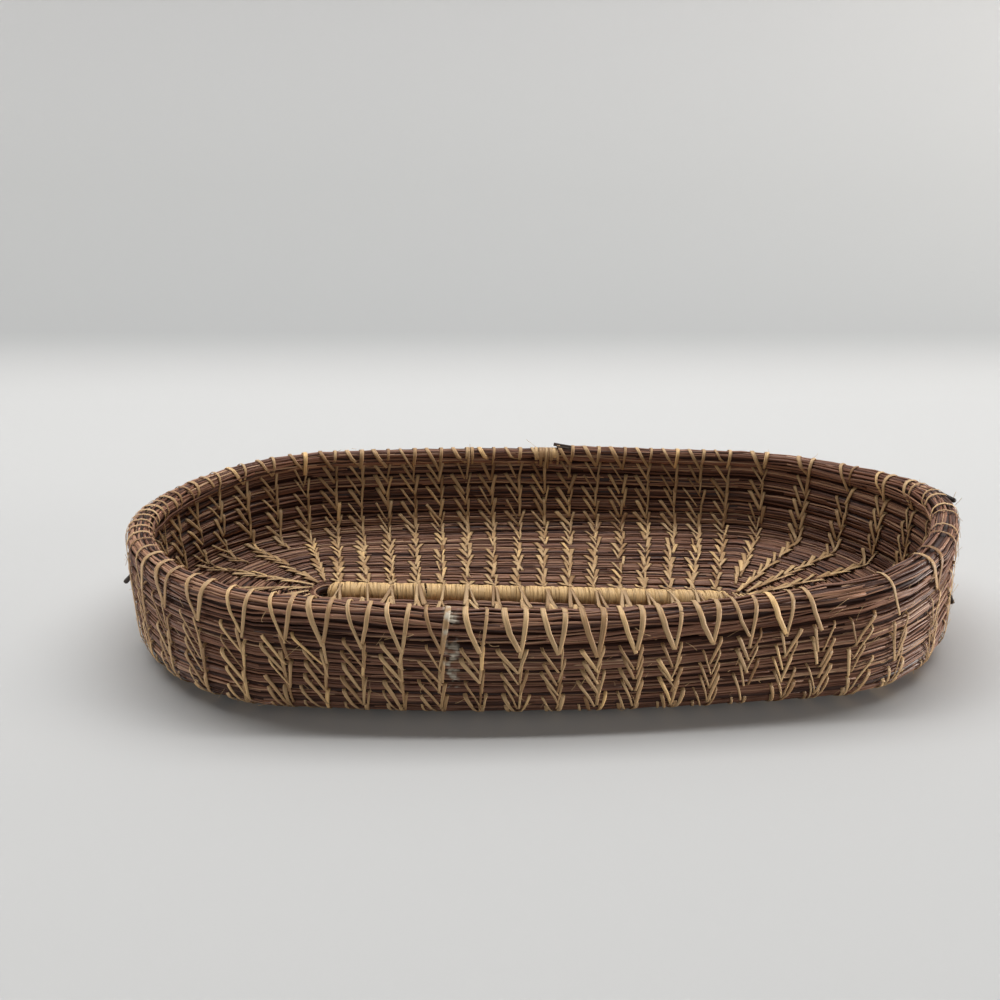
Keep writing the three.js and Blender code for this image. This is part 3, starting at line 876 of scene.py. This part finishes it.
for side, first_column, nodes, columns in SIDES:
    places = (np.arange(columns) + 0.5) * nodes / columns
    for number in range(nodes):
        blocks = []
        for index in np.nonzero(np.floor(places) == number)[0]:
            blocks += stitch_column(first_column + places[index], FIRST_ROWS[side][index % 2])
        label = f"{side}_{number + 1:02d}"
        make_piece(f"raffia_{label}", blocks, raffia_material, "raffia", f"stitch_{label}")
print("stitch columns", sum(columns for _, _, _, columns in SIDES))

# %% [markdown]
# The coil starts from a straight bundle, wound from end to end with one strand. A striped tube would look
# machine-made, so every turn is a strand with its own width, tone and lean, looser at the left end. They
# follow the outline of the bar, straight and then nearly a quarter circle, which rounds both ends.

# %% Winding of the start
WRAP_TURNS = 172
WRAP_STEPS = 16
BAR_STRAIGHT = HALF_START - BAR_RADIUS
CAP_ANGLE = 0.46 * np.pi
WRAP_REACH = BAR_STRAIGHT + BAR_RADIUS * CAP_ANGLE
WRAP_LEAD = 2 * WRAP_REACH / WRAP_TURNS
LOOSE_TURNS = 12
LEAN = 0.32
LOOSE_LEAN = 1.3
LEAN_PHASES = (0, 6)
LOOSE_WIDTH = 0.8
WRAP_INSET = 0.1
WRAP_HEIGHT_SPREAD = (-0.15, 0.12)
WRAP_BUMP = 0.05
WRAP_BUMPS = 3
WRAP_TONE = 0.97
WRAP_TONE_SPREAD = 0.06
WRAP_WIDTH_SPREAD = (1.25, 1.75)


def start_winding():
    """Turns round the bar: the way along its outline grows by one lead a turn and leans by a sine."""
    # Past the straight part the way is an angle on the round end
    each = (WRAP_TURNS, 1)
    turn = np.arange(WRAP_TURNS)[:, None]
    step = np.linspace(0, 1, WRAP_STEPS + 1)[None]
    angle = 2 * np.pi * step + 0 * turn
    loose = np.exp(-turn / LOOSE_TURNS)
    lean = rng.normal(0, LEAN + LOOSE_LEAN * loose) * np.sin(angle + rng.uniform(*LEAN_PHASES, each))
    way = np.clip(WRAP_LEAD * (turn + step) - WRAP_REACH + lean, -WRAP_REACH, WRAP_REACH)
    tilt = np.sign(way) * np.maximum(np.abs(way) - BAR_STRAIGHT, 0) / BAR_RADIUS
    along = np.clip(way, -BAR_STRAIGHT, BAR_STRAIGHT) + BAR_RADIUS * np.sin(tilt)
    radius = BAR_RADIUS - WRAP_INSET + rng.uniform(*WRAP_HEIGHT_SPREAD, each)
    radius = radius + WRAP_BUMP * np.sin(WRAP_BUMPS * angle + turn)
    ring = np.stack([np.cos(angle), np.sin(angle)], -1) * np.cos(tilt)[..., None]
    path = np.concatenate([along[..., None], radius[..., None] * ring + [0, BAR_HEIGHT]], -1)
    normal = np.concatenate([np.sin(tilt)[..., None], ring], -1)
    tone = np.clip(rng.normal(WRAP_TONE, WRAP_TONE_SPREAD, each), 0, 1)
    width = WRAP_LEAD * rng.uniform(*WRAP_WIDTH_SPREAD, each) * (1 + LOOSE_WIDTH * loose) + 0 * angle
    return strands(skewed(path, 0 * angle), normal, width, tone)


wrap_triangles = make_piece("start_winding", [start_winding()], raffia_material, "raffia", "start_wrap")
print("start_winding", wrap_triangles, "triangles in", WRAP_TURNS, "turns")

# %% [markdown]
# Under the winding lies the first bundle of needles. It shows only through gaps between the turns, so it
# could be left out, but those gaps would then be empty. The straight bar is given as a line, like the coil
# and the rim, so the same function fills it, with fewer slots.

# %% Needles of the start
START_SLOTS = 10
START_DEPTH = 0.7


def start_line(column):
    """The five values of the start bundle: column counts evenly along the straight part of the bar."""
    share = column / SIDE_COLUMNS
    zero = np.zeros_like(share)
    centre = np.stack([BAR_STRAIGHT * (2 * share - 1), zero, zero + BAR_HEIGHT], -1)
    across = np.stack([zero, zero - 1, zero], -1)
    upward = np.stack([zero, zero, zero + 1], -1)
    half = zero + BAR_RADIUS - START_DEPTH
    return skewed(centre, zero), across, upward, half, half


bundle("start_needles", start_line, 0, SIDE_COLUMNS, START_SLOTS, RIM_HEART, needle_material, "needles",
       "start_core")

# %% [markdown]
# A few dark ends of needle bunches stick out: two at the end of the rim, one on the rim at the right, one on
# each end wall. They are what is left of the sheaths. A cylinder from the menu would need turning and
# placing; a tube between two points named by their columns stays in place if a size changes.

# %% Dark needle ends
STUB_RADIUS = 0.8
STUB_ROOT = 0.8
STUB_CLOSE = 0.02
STUB_SIDE = (0.0, 0.3, 1.0)
RIM_END = RIM_JOIN + COLUMNS


def rim_point(column, degrees, share):
    """A point round the rim at a column: degrees from the outside over the top, share of its half sizes."""
    middle, up, inward, half, thick = rim_line(np.array(column))
    angle = np.radians(degrees)
    return middle + share * (np.sin(angle) * half * up - np.cos(angle) * thick * inward)


def wall_point(column, level, outward, drop):
    """A point so many mm off the outer face of the wall and below the level."""
    centre, _, inward, _, deep = shell(np.array(column), np.array(level))
    return centre - inward * (deep + outward) - np.array([0, 0, drop])


def stub(start, end):
    """A blunt tube with six sides from one point to another, drawn together at its end."""
    away = unit(end - start)
    side = unit(np.cross(away, STUB_SIDE))
    ring = np.cos(TUBE_CORNERS)[:, None] * side + np.sin(TUBE_CORNERS)[:, None] * np.cross(away, side)
    ring = ring * STUB_RADIUS
    rings = np.stack([start + STUB_ROOT * ring, end + ring, end + STUB_CLOSE * ring])[None]
    run = np.array([0, 1, 1])[:, None] * np.linalg.norm(end - start)
    return block(rings, np.ones((1, 2), bool), rng.uniform(0, 1), run, np.cos(TUBE_CORNERS))


stubs = [
    stub(rim_point(RIM_END - 0.5, 95, 0.9), rim_point(RIM_END + 0.15, 80, 1.15)),
    stub(rim_point(RIM_END - 0.5, 120, 0.85), rim_point(RIM_END + 0.04, 115, 0.95)),
    stub(rim_point(46.75, 60, 0.9), rim_point(46.2, 42, 1.22)),
    stub(wall_point(22.5, 13.3, -1.2, 0.0), wall_point(22.3, 13.0, 1.9, 2.6)),
    stub(wall_point(45.0, 12.0, -1.2, 0.0), wall_point(44.95, 11.6, 1.0, 2.4)),
]
make_piece("needle_ends", stubs, sheath_material, "needles")
print("needle ends", len(stubs))

# %% [markdown]
# The basket stands on pale paper that curves up behind it, so no edge shows. A floor and a wall would meet
# in a line, so the sweep is a profile of depth and height carried sideways, with a quarter circle in it. Its
# colour carries painted shade that follows the height: palest on the table and greyest where the paper
# starts to rise.

# %% Paper sweep
SWEEP_START = 0.30
SWEEP_RADIUS = 0.30
SWEEP_STEPS = 17
SWEEP_HALF_WIDTH = 4.0
SWEEP_TOP = 3.0
PAPER_ROUGHNESS = 0.9
# Paper colour by height: the greyer stops are painted shade on the rising paper
PAPER_SHADE_STOPS = (
    (0.0003, (192, 192, 191)), (0.022, (160, 161, 161)), (0.12, (165, 166, 166)), (0.3, (180, 181, 182)),
)


def make_paper():
    """Dull paper with painted shade that follows the height."""
    paper = Graph("studio_paper")
    _, (_, _, height) = paper.place()
    shade = paper.ramp(height, [(stop, srgb(*colour)) for stop, colour in PAPER_SHADE_STOPS])
    paper.feed(paper.shader.inputs["Base Color"], shade)
    paper.shader.inputs["Roughness"].default_value = PAPER_ROUGHNESS
    return paper.material


def make_sweep():
    """Floor, quarter circle and wall as one strip of quads, wide enough for every view."""
    turn = np.linspace(0, np.pi / 2, SWEEP_STEPS)
    back = SWEEP_START + SWEEP_RADIUS
    depth = np.concatenate([[-SWEEP_HALF_WIDTH], SWEEP_START + SWEEP_RADIUS * np.sin(turn), [back]])
    height = np.concatenate([[0], SWEEP_RADIUS * (1 - np.cos(turn)), [SWEEP_TOP]])
    side = np.array([-SWEEP_HALF_WIDTH, SWEEP_HALF_WIDTH])
    points = np.stack(np.broadcast_arrays(side, depth[:, None], height[:, None]), -1).reshape(-1, 3)
    index = np.arange(len(points)).reshape(-1, 2)
    faces = np.stack([index[:-1, 0], index[:-1, 1], index[1:, 1], index[1:, 0]], -1)
    mesh = bpy.data.meshes.new("studio_sweep")
    mesh.from_pydata(points.tolist(), [], faces.tolist())
    mesh.polygons.foreach_set("use_smooth", np.ones(len(faces), dtype=bool))
    mesh.materials.append(make_paper())
    sweep = bpy.data.objects.new("studio_sweep", mesh)
    bpy.context.scene.collection.objects.link(sweep)
    return len(faces)


print("sweep of", make_sweep(), "quads")

# %% [markdown]
# Light in a photograph is read from its shadows. Here the shadow under the front is sharp and those at the
# ends are soft, so the main lamp is overhead, long and thin. A broad lamp behind it softens the rest. Two
# warm lamps low at the sides pick out the needles of both ends, and a weak one in front fills the walls that
# face the camera. Even light from all around could do alone, but it would draw no sharp shadow.

# %% Lamps
WHITE = (1.0, 1.0, 1.0)
WARM = (1.0, 0.95, 0.89)
AIR_LIGHT = 0.09


def make_lamp(name, place, width, height, power, colour):
    """A rectangular lamp in metres and watts that faces the middle of the basket's base."""
    lamp = bpy.data.lights.new(name, "AREA")
    lamp.shape = "RECTANGLE"
    lamp.size = width
    lamp.size_y = height
    lamp.energy = power
    lamp.color = colour
    holder = bpy.data.objects.new(name, lamp)
    holder.location = place
    holder.rotation_euler = (-Vector(place)).to_track_quat("-Z", "Y").to_euler()
    bpy.context.scene.collection.objects.link(holder)


def make_world(strength):
    """Even white light from all around."""
    world = bpy.data.worlds.new("studio_air")
    world.use_nodes = True
    world.node_tree.nodes["Background"].inputs["Color"].default_value = (1, 1, 1, 1)
    world.node_tree.nodes["Background"].inputs["Strength"].default_value = strength
    bpy.context.scene.world = world


make_lamp("lamp_key", place=(0.0, 0.16, 1.15), width=1.7, height=0.05, power=5.9, colour=WHITE)
make_lamp("lamp_broad", place=(0.0, 0.36, 1.12), width=2.2, height=0.5, power=15.2, colour=WHITE)
make_lamp("lamp_right", place=(1.4, -0.14, 0.06), width=0.3, height=0.1, power=21.0, colour=WARM)
make_lamp("lamp_left", place=(-1.4, -0.14, 0.06), width=0.3, height=0.1, power=7.5, colour=WARM)
make_lamp("lamp_front", place=(-0.1, -1.5, 0.5), width=0.5, height=0.2, power=2.4, colour=WHITE)
make_world(AIR_LIGHT)
bpy.context.scene.view_settings.view_transform = "Standard"
print("lamps", len(bpy.data.lights))

# %% [markdown]
# The photograph was taken from in front of the basket, a little left of its middle, looking down by twenty
# degrees. A camera could be aimed at a target, but its roll would then be lost. So its axes are worked out
# from pitch, yaw and roll, which were fitted to the outline of the basket.

# %% Camera
CAMERA_PLACE = Vector((-28.6, -323.0, 157.2)) * MM
CAMERA_PITCH = 0.3452
CAMERA_YAW = 0.0401
CAMERA_ROLL = 0.007
FOCAL_SHARE = 1.003
SENSOR = 36.0
NEAREST = 0.01


def make_camera():
    """A camera turned about the upright axis, then tipped down, then rolled about its own axis."""
    camera = bpy.data.cameras.new("camera")
    camera.sensor_width = SENSOR
    camera.lens = SENSOR * FOCAL_SHARE
    camera.clip_start = NEAREST
    holder = bpy.data.objects.new("camera", camera)
    turn = Matrix.Rotation(-CAMERA_YAW, 4, "Z") @ Matrix.Rotation(np.pi / 2 - CAMERA_PITCH, 4, "X")
    holder.matrix_world = Matrix.Translation(CAMERA_PLACE) @ turn @ Matrix.Rotation(CAMERA_ROLL, 4, "Z")
    bpy.context.scene.collection.objects.link(holder)
    bpy.context.scene.camera = holder
    return camera.lens


print("camera with a lens of", round(make_camera(), 1), "mm")
